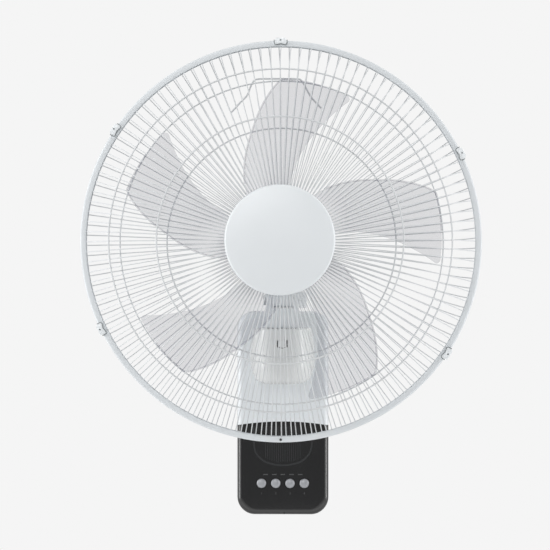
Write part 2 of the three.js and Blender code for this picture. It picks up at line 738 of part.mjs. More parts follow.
// A net of wires on a surface turned about Y. Each station is { r, y, ring, flat }: the radial wires run
// through all of them in order, and a station with a ring half-width also has a ring there, which lies
// across the axis if it is flat and along the wires if not.
function wireNet(stations, count, halfWire) {
  const rows = stations.map((s, j) => {
    const before = stations[Math.max(j - 1, 0)];
    const after = stations[Math.min(j + 1, stations.length - 1)];
    const sloping = new THREE.Vector2(after.r - before.r, after.y - before.y).normalize();
    return { ...s, along: s.flat ? new THREE.Vector2(1, 0) : sloping };
  });
  const points = [];
  const corner = (i, j, a, b, c) => {
    const { r, y, ring, along } = rows[j];
    const angle = (2 * Math.PI * i) / count;
    const reach = b * (ring ?? 0);
    const radial = r + along.x * reach - along.y * c * halfWire;
    const axial = y + along.y * reach + along.x * c * halfWire;
    const side = a * halfWire;
    const [cos, sin] = [Math.cos(angle), Math.sin(angle)];
    points.push(radial * cos - side * sin, axial, radial * sin + side * cos);
  };
  const quad = (...corners) => [0, 1, 2, 0, 2, 3].forEach((k) => corner(...corners[k]));
  for (let i = 0; i < count; i++) {
    rows.forEach(({ ring }, j) => {
      if (ring) {
        quad([i, j, -1, -1, 1], [i, j, 1, -1, 1], [i, j, 1, 1, 1], [i, j, -1, 1, 1]);
        quad([i, j, -1, -1, -1], [i, j, -1, 1, -1], [i, j, 1, 1, -1], [i, j, 1, -1, -1]);
        ringArm(quad, i, j);
      }
      if (j === 0) {
        quad([i, j, -1, -1, -1], [i, j, 1, -1, -1], [i, j, 1, -1, 1], [i, j, -1, -1, 1]);
      }
      if (j < rows.length - 1) {
        radialArm(quad, i, j);
      } else {
        quad([i, j, 1, 1, -1], [i, j, -1, 1, -1], [i, j, -1, 1, 1], [i, j, 1, 1, 1]);
      }
    });
  }
  return new THREE.BufferGeometry().setAttribute("position", new THREE.Float32BufferAttribute(points, 3));
}

// The wire from station j to the next one.
function radialArm(quad, i, j) {
  for (const [[a0, c0], [a1, c1]] of squareSides) {
    quad([i, j, a0, 1, c0], [i, j, a1, 1, c1], [i, j + 1, a1, -1, c1], [i, j + 1, a0, -1, c0]);
  }
}

// The stretch of ring from wire i to the next one.
function ringArm(quad, i, j) {
  for (const [[b0, c0], [b1, c1]] of squareSides) {
    quad([i, j, 1, b1, c1], [i, j, 1, b0, c0], [i + 1, j, -1, b0, c0], [i + 1, j, -1, b1, c1]);
  }
}

const squareSides = [
  [[-1, 1], [1, 1]],
  [[1, 1], [1, -1]],
  [[1, -1], [-1, -1]],
  [[-1, -1], [-1, 1]],
];

// A guard from its centre ring out to the edge ring in the rim; side is -1 in front and 1 behind.
function guard(side, centre, depths) {
  const edgeDepth = wireRadius + gap / 2;
  return wireNet(
    [
      { ...centre, flat: true },
      { r: middleRingRadius, y: rimY + side * depths[0], ring: wireRadius },
      { r: outerRingRadius, y: rimY + side * depths[1], ring: wireRadius },
      { r: shoulderRadius, y: rimY + side * depths[2] },
      { r: edgeRingRadius - 4, y: rimY + side * (edgeDepth + 1) },
      { r: edgeRingRadius, y: rimY + side * edgeDepth, ring: wireRadius, flat: true },
    ],
    wireCount,
    wireRadius,
  );
}

const frontGuard = () =>
  guard(-1, { r: badgeRingRadius, y: rimY - badgeRingDepth, ring: badgeRingHalf }, frontRingDepths);
const rearGuard = () => guard(1, { r: rearPlateRadius, y: rearPlateY, ring: rearPlateHalf }, rearRingDepths);

// The plastic ring: a channel, open inwards, that holds the edge rings of both guards.
function guardRing() {
  const inner = rimRadius - rimBand;
  const wall = rimRadius - rimWall;
  const [rear, front] = [rimY + rimHalf, rimY - rimHalf];
  return turnedY([
    [inner, front], [rimRadius, front], [rimRadius, rear], [inner, rear], [inner, rear - rimWall],
    [wall, rear - rimWall], [wall, front + rimWall], [inner, front + rimWall], [inner, front],
  ], wireCount);
}

// A clip that grips the ring from outside, at so many degrees from the top.
function ringClip(angle) {
  const reach = rimHalf + gap + rimWall;
  const half = clipWidth / 2;
  const foot = rimRadius - rimBand + 1.5;
  const body = block([-half, half], [rimY - reach, rimY + reach], [foot, rimRadius + clipStandoff]);
  const hollow = rimHalf + gap;
  const space = ringY(rimRadius - 2 * rimBand, rimRadius + gap, rimY - hollow, rimY + hollow, wireCount);
  return cut(asSolid(body).rotate([0, angle, 0]), space);
}

function lockScrew() {
  const z = -(rimRadius - rimBand / 2);
  return rodY(lockScrewRadius, rimY - rimHalf - gap, rimY - rimHalf - gap - 1.5, { z, sides: 16 });
}

// The bow of wire at the top of the rear guard, just behind its radial wires.
function guardHandle() {
  const [inner, outer] = rearRingDepths;
  const corners = handlePoints.map(([across, up]) => {
    const [x, z] = [across * outerRingRadius, up * outerRingRadius];
    const share = Math.min((Math.hypot(x, z) - middleRingRadius) / (outerRingRadius - middleRingRadius), 1);
    const depth = inner + (outer - inner) * share + 2 * wireRadius + 2 * gap;
    return new THREE.Vector3(x, rimY + depth, z);
  });
  const section = new THREE.Shape().absarc(0, 0, wireRadius, 0, 2 * Math.PI, false);
  return new THREE.ExtrudeGeometry(section, {
    extrudePath: new THREE.CatmullRomCurve3(corners, false, "catmullrom", 0.2),
    steps: 18,
    curveSegments: 2,
    bevelEnabled: false,
  });
}

// The ring nut that clamps the rear guard on the motor's boss.
function guardNut() {
  const back = rearPlateY - wireRadius - gap;
  const front = bossFrontY + gap;
  return turnedY([
    [bossRadius + gap, back], [guardNutRadius, back], [guardNutRadius, back - 4], [guardNutRadius - 6, front],
    [bossRadius + gap, front], [bossRadius + gap, back],
  ]);
}

// The plain round badge on the front guard's centre ring, with a skirt inside the ring.
function frontBadge() {
  const back = badgeBackY;
  const front = back - badgeThickness;
  const skirt = badgeRingRadius - badgeRingHalf - gap;
  return turnedY([
    [0, front], [badgeRadius * 0.6, front + 0.8], [badgeRadius - 3, front + 2.6], [badgeRadius, back],
    [skirt, back], [skirt, back + 4], [skirt - 2, back + 4], [skirt - 2, back - 1.6], [0, back - 1.6],
  ], 36);
}

// ---------------------------------------------------------------- fan, about the fan axis

// One blade as a closed grid: radial stations from the hub to the tip, each a slightly cambered chord
// from the leading edge (behind) to the trailing edge (in front).
function blade(turn) {
  const chordSteps = 3;
  const rows = bladeStations.map(([share, trailing, leading, depthShare]) =>
    Array.from({ length: chordSteps + 1 }, (_, k) => {
      const u = k / chordSteps;
      const radius = share * bladeTipRadius;
      const angle = THREE.MathUtils.degToRad(trailing + (leading - trailing) * u) + turn;
      const lift = (u - 0.5) * depthShare * bladeDepth + bladeCamber * Math.sin(Math.PI * u);
      return [radius * Math.cos(angle), bladePlaneY + lift, radius * Math.sin(angle)];
    }),
  );
  const half = bladeThickness / 2;
  const grid = [-half, half].map((off) => rows.map((row) => row.map(([x, y, z]) => [x, y + off, z])));
  const points = [];
  const quad = (a, b, c, d) => points.push(...a, ...b, ...c, ...a, ...c, ...d);
  const [front, back] = grid;
  for (let j = 0; j < rows.length - 1; j++) {
    for (let k = 0; k < chordSteps; k++) {
      quad(front[j][k], front[j][k + 1], front[j + 1][k + 1], front[j + 1][k]);
      quad(back[j][k], back[j + 1][k], back[j + 1][k + 1], back[j][k + 1]);
    }
    quad(front[j][0], front[j + 1][0], back[j + 1][0], back[j][0]);
    quad(front[j][chordSteps], back[j][chordSteps], back[j + 1][chordSteps], front[j + 1][chordSteps]);
  }
  const last = rows.length - 1;
  for (let k = 0; k < chordSteps; k++) {
    quad(front[0][k], back[0][k], back[0][k + 1], front[0][k + 1]);
    quad(front[last][k], front[last][k + 1], back[last][k + 1], back[last][k]);
  }
  return new THREE.BufferGeometry().setAttribute("position", new THREE.Float32BufferAttribute(points, 3));
}

function fanBlade() {
  const bore = shaftRadius + gap;
  const round = 5;
  const floor = hubFrontY + round + hubWall;
  const inner = hubRadius - hubWall;
  const hub = turnedY([
    [bore, hubFrontY], [hubRadius - round, hubFrontY], [hubRadius, hubFrontY + round], [hubRadius, hubBackY],
    [inner, hubBackY], [inner, floor], [bossWall, floor], [bossWall, hubBackY], [bore, hubBackY],
    [bore, hubFrontY],
  ]);
  const blades = Array.from({ length: bladeCount }, (_, i) => {
    return cut(blade((2 * Math.PI * i) / bladeCount), rodY(inner, floor, hubBackY, { sides: 24 }));
  });
  const half = drivePinRadius + gap;
  const slotFloor = hubBackY - drivePinRadius - half;
  const slot = block([-bossWall - 1, bossWall + 1], [hubBackY + 1, slotFloor], [-half, half]);
  return cut(join(hub, ...blades), slot);
}

function bladeCap() {
  const front = capBackY - capLength;
  const cap = turnedY([
    [0, capBackY], [capRadius, capBackY], [capRadius, front + 7], [capRadius - 5, front + 1.5],
    [capRadius - 10, front], [0, front],
  ], 20);
  return cut(cap, rodY(shaftRadius + gap, capBackY + 1, shaftFrontY - gap));
}

function drivePin() {
  return rodX(drivePinRadius, -drivePinLength, drivePinLength, { y: hubBackY - drivePinRadius, sides: 10 });
}

function motorShaft() {
  const shaft = rodY(shaftRadius, rearBearingY + bearingWidth / 2, shaftFrontY);
  const [reach, y] = [shaftRadius + 1, hubBackY - drivePinRadius];
  return cut(shaft, rodX(drivePinRadius + gap / 3, -reach, reach, { y, sides: 10 }));
}

function motorRotor() {
  const half = (statorLength + 2) / 2;
  return ringY(shaftRadius + gap, rotorRadius, statorY - half, statorY + half);
}

// ---------------------------------------------------------------- assembly

const fan = new THREE.Group();
const head = new THREE.Group();
const rotor = new THREE.Group();
const swivel = new THREE.Group();
const pinion = new THREE.Group();
head.position.z = axisZ;
swivel.position.y = swivelY;
pinion.position.set(-gearDistance, swivelY, 0);
head.add(rotor);
fan.add(head, swivel, pinion);

const shell = frontShell();
piece("wall_bracket", wallBracket(), steel, fan);
piece("back_cover", backCover(), darkPlastic, fan);
piece("front_cover", frontCover(shell), whiteGloss, fan);
piece("control_panel", controlPanel(shell), blackGloss, fan);
piece("control_board", controlBoard(), boardGreen, fan);
keyPlaces().forEach((x, i) => {
  piece(`key_switch_${i + 1}`, keySwitch(x), darkPlastic, fan);
  piece(`key_${i + 1}`, key(x), silverKey, fan);
});
piece("signal_receiver", signalReceiver(), darkPlastic, fan);
piece("cord_gland", cordGland(), darkPlastic, fan);
coverScrewPlaces.forEach((place, i) => piece(`cover_screw_${i + 1}`, coverScrew(place), steel, fan));

piece("neck_housing", neckHousing(), whiteGloss, fan);
piece("neck_cap", neckCap(), whiteGloss, fan);
piece("swing_bush", swingBush(), greyPlastic, fan);
piece("swing_motor", swingMotor(), steel, fan);
piece("swing_pinion", swingPinion(), brass, pinion);
piece("swing_gear", swingGear(), greyPlastic, swivel);
piece("swivel_yoke", swivelYoke(), whiteGloss, swivel);
piece("swivel_retainer", swivelRetainer(), steel, swivel);
piece("tilt_pin", tiltPin(), steel, swivel);
piece("tilt_knob", tiltKnob(), whiteGloss, swivel);

piece("tilt_lug", tiltLug(), whiteGloss, head);
piece("motor_rear_cover", motorRearCover(), whiteGloss, head);
piece("motor_front_cover", motorFrontCover(), whiteGloss, head);
piece("motor_stator", motorStator(), castMetal, head);
piece("coil_front", motorCoil(-1), copper, head);
piece("coil_rear", motorCoil(1), copper, head);
piece("front_bearing", bearing(frontBearingY), steel, head);
piece("rear_bearing", bearing(rearBearingY), steel, head);
piece("rear_guard", rearGuard(), coatedWire, head);
piece("guard_nut", guardNut(), whiteGloss, head);
piece("front_guard", frontGuard(), coatedWire, head);
piece("guard_ring", guardRing(), whiteGloss, head);
clipAngles.forEach((angle, i) => piece(`ring_clip_${i + 1}`, ringClip(angle), whiteGloss, head));
piece("ring_lock_screw", lockScrew(), steel, head);
piece("guard_handle", guardHandle(), coatedWire, head);
piece("front_badge", frontBadge(), whiteGloss, head);

piece("motor_shaft", motorShaft(), steel, rotor);
piece("motor_rotor", motorRotor(), castMetal, rotor);
piece("drive_pin", drivePin(), steel, rotor);
piece("fan_blade", fanBlade(), clearBlade, rotor);
piece("blade_cap", bladeCap(), whiteGloss, rotor);

export default fan;
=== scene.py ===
"""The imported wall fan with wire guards, smooth shells, clear blades, materials, light and camera."""

import math

import bmesh
import bpy
from mathutils import Matrix, Vector


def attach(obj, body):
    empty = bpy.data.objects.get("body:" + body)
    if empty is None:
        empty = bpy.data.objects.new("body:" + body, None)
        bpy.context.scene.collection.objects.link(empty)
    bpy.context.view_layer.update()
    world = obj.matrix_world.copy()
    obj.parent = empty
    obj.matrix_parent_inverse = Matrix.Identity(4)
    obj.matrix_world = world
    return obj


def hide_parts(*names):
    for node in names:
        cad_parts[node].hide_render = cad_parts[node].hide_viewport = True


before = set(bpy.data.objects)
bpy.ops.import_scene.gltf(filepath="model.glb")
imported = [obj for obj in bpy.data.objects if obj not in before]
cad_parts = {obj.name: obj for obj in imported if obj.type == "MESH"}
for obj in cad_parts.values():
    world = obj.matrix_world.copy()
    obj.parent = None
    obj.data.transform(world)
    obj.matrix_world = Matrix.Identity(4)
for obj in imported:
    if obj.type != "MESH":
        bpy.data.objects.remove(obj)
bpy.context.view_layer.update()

MM = 0.001
TAU = 2 * math.pi

# Places and sizes of the CAD, in millimetres. The wall is at y 0, and the fan faces -Y.

# Wall box. The corners' radius shrinks towards the front by CORNER_TAPER of the edge's rounding.
BASE_WIDTH, BASE_HEIGHT, BASE_DEPTH = 110, 244, 62
BASE_CORNER, BASE_EDGE, BASE_SPLIT = 20, 7, -22.3
CORNER_TAPER = 0.3
LOWER_BOW = 1.8
SHELL_WALL = 2.4
SEAM_Z, SEAM_DROP, SEAM_GAP = -10.8, 4.5, 0.5
KEY_COUNT, KEY_Z, KEY_PITCH, KEY_RADIUS = 4, -85, 17.2, 5.75
KEY_BACK, KEY_FRONT = -58.1, -63.6
PRINT_HALF = 0.03

# Neck and tilt joint.
SWIVEL_Y = -90
TURRET_TOP, TURRET_BOTTOM, TURRET_RADIUS = 103.4, 37.9, 38
NECK_CAP_Z, NECK_CAP_HALF = 85.8, 4.5
COLUMN_BOTTOM = TURRET_TOP + 2.1
GEAR_BOTTOM = TURRET_TOP - 18.6
PIVOT_Z, PIN_HOLE = 136.4, 3.8

# Motor.
AXIS_Z = 202
MOTOR_RADIUS, MOTOR_REAR, MOTOR_FRONT = 55, -68, -187
MOTOR_SEAM, MOTOR_SEAM_GAP = -128, 0.3
BOSS_RADIUS, BOSS_FRONT, SHAFT_HOLE = 22, -200, 4.6

# Guards, and the ring that holds them together.
WIRES = 120
GUARD_RINGS = (128, 180)
EDGE_RING = 211.6
RIM_Y, RIM_RADIUS = -265, 216
RIM_BAND, RIM_HALF, RIM_WALL = 6.5, 4.65, 1.6
CLIP_ANGLES = (0, 64, 124, 244, 304)
BADGE_BACK, BADGE_RADIUS = -340.9, 58.2

# Blades. Each station has its radius, its trailing and leading edge in degrees from +X, and its depth.
BLADES = 5
BLADE_Y, BLADE_HALF = -262, 0.8
STATIONS = [
    (40.5, 133, 84, 36),
    (66.6, 124.2, 81, 36),
    (77.3, 120, 80.2, 36),
    (97.3, 112.8, 77.4, 35),
    (122, 104.4, 73, 33),
    (142, 99, 69.2, 31),
    (160, 94, 65.9, 29),
    (170, 91, 64.1, 26),
    (174, 89.2, 65.1, 24),
]
HUB_RADIUS, HUB_FRONT, HUB_BACK, HUB_BORE = 42, -283, -241, 4.3

BACKDROP = (0.913, 0.913, 0.913, 1)
FLOOR_RADIUS = 1.8


# ------------------------------------------------------------------ materials


def set_sockets(node, **values):
    """Sets a node's inputs by their names, with an underscore for each space."""
    for name, value in values.items():
        node.inputs[name.replace("_", " ")].default_value = value


def node_of(material, kind):
    return next(node for node in material.node_tree.nodes if node.type == kind)


def node_material(name, color, roughness, grain=900, depth=0.02, spread=0.04, tint=0.03, **sockets):
    """A moulded or painted surface with fine grain in the bump, and small changes of colour and roughness.

    The grain is depth millimetres high, roughness changes by spread and colour by the share of tint.
    """
    material = bpy.data.materials.new(name)
    material.use_nodes = True
    nodes, links = material.node_tree.nodes, material.node_tree.links
    shader = nodes["Principled BSDF"]
    place = nodes.new("ShaderNodeTexCoord")

    def noise(scale, detail):
        texture = nodes.new("ShaderNodeTexNoise")
        set_sockets(texture, Scale=scale, Detail=detail)
        links.new(place.outputs["Object"], texture.inputs["Vector"])
        return texture.outputs["Fac"]

    shade = nodes.new("ShaderNodeValToRGB")
    low, high = shade.color_ramp.elements
    low.position = 0.3
    high.position = 0.7
    low.color = (*[c * (1 - tint) for c in color], 1)
    high.color = (*[min(c * (1 + tint), 1) for c in color], 1)
    links.new(noise(14, 3), shade.inputs["Fac"])
    links.new(shade.outputs["Color"], shader.inputs["Base Color"])

    sheen = nodes.new("ShaderNodeMapRange")
    set_sockets(sheen, To_Min=max(roughness - spread, 0.02), To_Max=roughness + spread)
    links.new(noise(60, 4), sheen.inputs["Value"])
    links.new(sheen.outputs["Result"], shader.inputs["Roughness"])

    bump = nodes.new("ShaderNodeBump")
    set_sockets(bump, Strength=0.5, Distance=depth * MM)
    links.new(noise(grain, 2), bump.inputs["Height"])
    links.new(bump.outputs["Normal"], shader.inputs["Normal"])
    set_sockets(shader, **sockets)
    return material


def striped(material, scale, direction, depth, dark):
    """Adds fine parallel lines, such as laminations or turns of wire, to a material."""
    nodes, links = material.node_tree.nodes, material.node_tree.links
    wave = nodes.new("ShaderNodeTexWave")
    wave.bands_direction = direction
    set_sockets(wave, Scale=scale, Distortion=0.6)
    links.new(node_of(material, "TEX_COORD").outputs["Object"], wave.inputs["Vector"])

    grain = node_of(material, "BUMP")
    lines = nodes.new("ShaderNodeBump")
    set_sockets(lines, Strength=0.8, Distance=depth * MM)
    links.new(wave.outputs["Fac"], lines.inputs["Height"])
    links.new(lines.outputs["Normal"], grain.inputs["Normal"])

    groove = nodes.new("ShaderNodeMapRange")
    set_sockets(groove, From_Min=0.35, From_Max=0.0)
    links.new(wave.outputs["Fac"], groove.inputs["Value"])
    mix = nodes.new("ShaderNodeMix")
    mix.data_type = "RGBA"
    set_sockets(mix, B=(*dark, 1))
    links.new(groove.outputs["Result"], mix.inputs["Factor"])
    links.new(node_of(material, "VALTORGB").outputs["Color"], mix.inputs["A"])
    links.new(mix.outputs["Result"], nodes["Principled BSDF"].inputs["Base Color"])
    return material


WHITE = node_material("white gloss plastic", (0.70, 0.73, 0.752), 0.22, depth=0.006, tint=0.015)
# The turret and its tab are the same white plastic as the box. This copy is darker and less blue as painted
# shade.
SHADED_NECK_WHITE = node_material("neck plastic with painted shade", (0.60, 0.614, 0.614), 0.2, depth=0.006, tint=0.015)
RIM_WHITE = node_material("ring plastic", (0.67, 0.70, 0.722), 0.45, depth=0.002, tint=0.015)
BADGE = node_material("badge plastic", (0.75, 0.78, 0.80), 0.3, depth=0.006, tint=0.01)
BLACK = node_material(
    "black gloss plastic", (0.0022, 0.0024, 0.003), 0.17, depth=0.004, spread=0.03, Specular_IOR_Level=0.85
)
CLIP_WHITE = node_material("clip plastic", (0.80, 0.83, 0.85), 0.35, depth=0.006, tint=0.01)
# Painted shadow: the dark grey of the shade under each clip's lip.
LIP_SHADOW_GREY = node_material("painted lip shadow", (0.16, 0.175, 0.18), 0.4, depth=0.006, tint=0.02)
KEY_SILVER = node_material(
    "silver paint", (0.355, 0.365, 0.385), 0.35, grain=2600, tint=0.05, Metallic=0.35
)
WIRE = node_material("coated wire", (0.62, 0.637, 0.65), 0.4, grain=1500, depth=0.004, tint=0.03)
BLADE = node_material("translucent blade", (0.17, 0.175, 0.24), 0.25, depth=0.002, tint=0.01, Alpha=0.15)
DARK = node_material("dark plastic", (0.03, 0.032, 0.034), 0.45, depth=0.05, tint=0.08)
GREY = node_material("acetal", (0.45, 0.48, 0.50), 0.4)
BOARD = node_material("circuit board", (0.03, 0.16, 0.07), 0.35, grain=1400, tint=0.2)
BRASS = node_material("brass", (0.6, 0.42, 0.16), 0.3, Metallic=1.0)
PRINT = node_material("panel print", (0.055, 0.057, 0.058), 0.5, depth=0.004)
# Painted reflection: a little lighter than the black panel, standing for the guard mirrored in it.
PAINTED_REFLECTION = node_material("painted guard reflection", (0.030, 0.0315, 0.033), 0.16, depth=0.004)

steel = node_material("plated steel", (0.55, 0.57, 0.58), 0.32, Metallic=1.0)
STEEL = striped(steel, 260, "Z", 0.008, (0.42, 0.44, 0.45))
core = node_material("laminated core", (0.3, 0.31, 0.32), 0.5, Metallic=1.0)
CORE = striped(core, 320, "Y", 0.06, (0.08, 0.08, 0.09))
copper = node_material("enamelled copper", (0.52, 0.2, 0.08), 0.3, Metallic=1.0)
COPPER = striped(copper, 230, "Z", 0.2, (0.16, 0.05, 0.02))

# These nodes keep the CAD's shape.
KEPT = {
    STEEL: ["wall_bracket", "swing_motor", "swivel_retainer", "tilt_pin", "front_bearing", "rear_bearing"]
    + ["motor_shaft", "drive_pin"] + [f"cover_screw_{k}" for k in range(1, 5)],
    DARK: ["back_cover", "signal_receiver", "cord_gland"] + [f"key_switch_{k}" for k in range(1, 5)],
    BOARD: ["control_board"],
    GREY: ["swing_bush", "swing_gear"],
    BRASS: ["swing_pinion"],
    CORE: ["motor_stator", "motor_rotor"],
    COPPER: ["coil_front", "coil_rear"],
    WHITE: ["tilt_lug"],
}
for material, names in KEPT.items():
    for name in names:
        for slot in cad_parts[name].material_slots:
            slot.material = material


# ------------------------------------------------------------------ mesh helpers


def placed(name, data):
    """A new object in the scene, made of the data."""
    made = bpy.data.objects.new(name, data)
    bpy.context.scene.collection.objects.link(made)
    return made


def make_object(name, verts, faces):
    mesh = bpy.data.meshes.new(name)
    mesh.from_pydata([Vector(v) * MM for v in verts], [], faces)
    form = bmesh.new()
    form.from_mesh(mesh)
    bmesh.ops.recalc_face_normals(form, faces=form.faces)
    form.to_mesh(mesh)
    form.free()
    return placed(name, mesh)


def evaluated_mesh(thing):
    """The mesh of an object or a text, with its modifiers applied."""
    graph = bpy.context.evaluated_depsgraph_get()
    return bpy.data.meshes.new_from_object(thing.evaluated_get(graph))


def apply_modifiers(target):
    mesh = evaluated_mesh(target)
    target.modifiers.clear()
    target.data = mesh
    return target


def boolean(target, tool, operation="DIFFERENCE"):
    modifier = target.modifiers.new("cut", "BOOLEAN")
    modifier.operation = operation
    modifier.solver = "EXACT"
    modifier.object = tool
    apply_modifiers(target)
    bpy.data.objects.remove(tool)
    return target


def bevel(target, width, segments=3, angle=35):
    modifier = target.modifiers.new("round", "BEVEL")
    modifier.width = width * MM
    modifier.segments = segments
    modifier.limit_method = "ANGLE"
    modifier.angle_limit = math.radians(angle)
    return apply_modifiers(target)


def finish_piece(made, material, body, slot, *nodes, sharp=32):
    """Smooth shading, material, the body it rides on and the CAD nodes it stands for."""
    made.data.materials.clear()
    made.data.materials.append(material)
    for polygon in made.data.polygons:
        polygon.use_smooth = True
    made.data.set_sharp_from_angle(angle=math.radians(sharp))
    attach(made, body)
    if nodes:
        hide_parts(*nodes)


def joined(name, parts):
    """One mesh object from several, which are removed."""
    form = bmesh.new()
    for part in parts:
        form.from_mesh(part.data)
        bpy.data.objects.remove(part)
    mesh = bpy.data.meshes.new(name)
    form.to_mesh(mesh)
    form.free()
    return placed(name, mesh)


def rounded(points, steps=5, loop=False):
    """A polyline with its corners rounded. Each point is (a, b) or (a, b, radius)."""
    out = []
    count = len(points)
    for i, point in enumerate(points):
        here = Vector(point[:2])
        radius = point[2] if len(point) > 2 else 0
        if radius == 0 or (not loop and i in (0, count - 1)):
            out.append(tuple(here))
            continue
        before = Vector(points[i - 1][:2]) - here
        after = Vector(points[(i + 1) % count][:2]) - here
        half = before.angle(after) / 2
        reach = min(radius / math.tan(half), before.length * 0.49, after.length * 0.49)
        start = here + before.normalized() * reach
        end = here + after.normalized() * reach
        inward = (before.normalized() + after.normalized()).normalized()
        centre = here + inward * (reach / math.cos(half))
        a, b = start - centre, end - centre
        turn = a.angle(b)
        for k in range(steps + 1):
            share = k / steps
            of_a = math.sin((1 - share) * turn) / math.sin(turn)
            of_b = math.sin(share * turn) / math.sin(turn)
            out.append(tuple(centre + (a * of_a + b * of_b)))
    return out


def spline(points, steps=6):
    """A smooth line through points of any dimension."""
    points = [Vector(p) for p in points]
    out = []
    for i in range(len(points) - 1):
        p0 = points[max(i - 1, 0)]
        p1, p2 = points[i], points[i + 1]
        p3 = points[min(i + 2, len(points) - 1)]
        for k in range(steps):
            t = k / steps
            square = (2 * p0 - 5 * p1 + 4 * p2 - p3) * t**2
            cube = (3 * p1 - p0 - 3 * p2 + p3) * t**3
            out.append(0.5 * ((2 * p1) + (p2 - p0) * t + square + cube))
    out.append(points[-1])
    return out


def arc(radius, start, end, steps, centre=(0, 0)):
    """Points on a circle, with its angles in degrees."""
    points = []
    for k in range(steps + 1):
        a = math.radians(start + (end - start) * k / steps)
        points.append((centre[0] + radius * math.cos(a), centre[1] + radius * math.sin(a)))
    return points


def turned(name, profile, segments=96, loop=False, axis="Y", centre=(0, 0, AXIS_Z)):
    """A body turned about an axis through centre, from (radius, height) points."""
    verts, rows, faces = [], [], []
    for radius, height in profile:
        if radius < 1e-6:
            rows.append([len(verts)] * segments)
            verts.append((0, 0, height))
            continue
        rows.append([len(verts) + i for i in range(segments)])
        for i in range(segments):
            a = TAU * i / segments
            verts.append((radius * math.cos(a), radius * math.sin(a), height))
    count = len(rows) if loop else len(rows) - 1
    for j in range(count):
        low, high = rows[j], rows[(j + 1) % len(rows)]
        for i in range(segments):
            k = (i + 1) % segments
            corners = [low[i], low[k], high[k], high[i]]
            faces.append([c for n, c in enumerate(corners) if c not in corners[:n]])
    faces = [face for face in faces if len(face) > 2]
    if axis == "Y":
        verts = [(x, z, y) for x, y, z in verts]
    if axis == "X":
        verts = [(z, x, y) for x, y, z in verts]
    verts = [tuple(Vector(v) + Vector(centre)) for v in verts]
    return make_object(name, verts, faces)


def rod(radius, low, high, axis="Y", centre=(0, 0, 0), segments=48):
    profile = [(0, low), (radius, low), (radius, high), (0, high)]
    return turned("rod", profile, segments, axis=axis, centre=centre)


def box_object(x, y, z):
    corners = [(x[i], y[j], z[k]) for i in (0, 1) for j in (0, 1) for k in (0, 1)]
    faces = [[0, 1, 3, 2], [4, 6, 7, 5], [0, 4, 5, 1], [2, 3, 7, 6], [0, 2, 6, 4], [1, 5, 7, 3]]
    return make_object("block", corners, faces)


def prism(name, outline, y0, y1):
    """An outline of (x, z) points between two depths."""
    count = len(outline)
    verts = [(x, y, z) for y in (y0, y1) for x, z in outline]
    faces = [list(range(count))[::-1], list(range(count, 2 * count))]
    faces += [[i, (i + 1) % count, count + (i + 1) % count, count + i] for i in range(count)]
    return make_object(name, verts, faces)


def ringed(name, rings):
    """A closed body through rings with the same number of points."""
    size = len(rings[0])
    verts = [point for ring in rings for point in ring]
    faces = []
    for j in range(len(rings) - 1):
        for i in range(size):
            k = (i + 1) % size
            faces.append([j * size + i, j * size + k, (j + 1) * size + k, (j + 1) * size + i])
    faces.append(list(range(size))[::-1])
    faces.append([(len(rings) - 1) * size + i for i in range(size)])
    return make_object(name, verts, faces)


def tube_mesh(points, radius, sides=8, closed=False):
    """Vertices and faces of a round wire along points."""
    points = [Vector(p) for p in points]
    count = len(points)
    verts, faces = [], []
    normal = None
    for i, point in enumerate(points):
        after = points[(i + 1) % count] if closed or i < count - 1 else point
        before = points[i - 1] if closed or i > 0 else point
        along = (after - before).normalized()
        if normal is None:
            normal = along.orthogonal().normalized()
        normal = (normal - along * normal.dot(along)).normalized()
        side = along.cross(normal)
        for k in range(sides):
            a = TAU * k / sides
            verts.append(tuple(point + (normal * math.cos(a) + side * math.sin(a)) * radius))
    last = count if closed else count - 1
    for i in range(last):
        low, high = i * sides, ((i + 1) % count) * sides
        for k in range(sides):
            n = (k + 1) % sides
            faces.append([low + k, low + n, high + n, high + k])
    if not closed:
        faces.append(list(range(sides))[::-1])
        faces.append([(count - 1) * sides + k for k in range(sides)])
    return verts, faces


def merged(name, meshes):
    """One object from several lists of vertices and faces."""
    verts, faces = [], []
    for more, shapes in meshes:
        start = len(verts)
        verts.extend(more)
        faces.extend([[start + k for k in face] for face in shapes])
    return make_object(name, verts, faces)


# ------------------------------------------------------------------ wall box


def rounded_rectangle(width, height, radius, steps=10):
    points = []
    for sx, sz, start in ((1, -1, -90), (1, 1, 0), (-1, 1, 90), (-1, -1, 180)):
        centre = (sx * (width / 2 - radius), sz * (height / 2 - radius))
        points += arc(radius, start, start + 90, steps, centre)
    return points


def bowed(x, z, width):
    """The height of an outline point, with the lower edge bowed down in its middle."""
    return z if z > 0 else z - LOWER_BOW * (1 - min(1, (2 * x / width) ** 2))


def shell_form(name, inset, back, front, edge, steps=8):
    """The wall box's outside, or its inside with an inset: straight sides and a rounded front edge."""
    profile = [(0, back)]
    for k in range(steps + 1):
        a = math.pi / 2 * k / steps
        profile.append((edge * (1 - math.cos(a)), front + edge * (1 - math.sin(a))))
    rings = []
    for pull, y in profile:
        width, height = BASE_WIDTH - 2 * (inset + pull), BASE_HEIGHT - 2 * (inset + pull)
        outline = rounded_rectangle(width, height, BASE_CORNER - inset - CORNER_TAPER * pull)
        rings.append([(x, y, bowed(x, z, width)) for x, z in outline])
    return ringed(name, rings)


def below_seam(lift, steps=24):
    """The space under the seam, which arches up to the middle of the box."""
    half = BASE_WIDTH / 2
    ends = SEAM_Z - SEAM_DROP + lift
    outline = [(-2 * half, -BASE_HEIGHT), (2 * half, -BASE_HEIGHT), (2 * half, ends)]
    for k in range(steps + 1):
        u = 1 - 2 * k / steps
        outline.append((half * u, ends + SEAM_DROP * (1 - u * u)))
    outline.append((-2 * half, ends))
    return prism("seam", outline, 0, -2 * BASE_DEPTH)


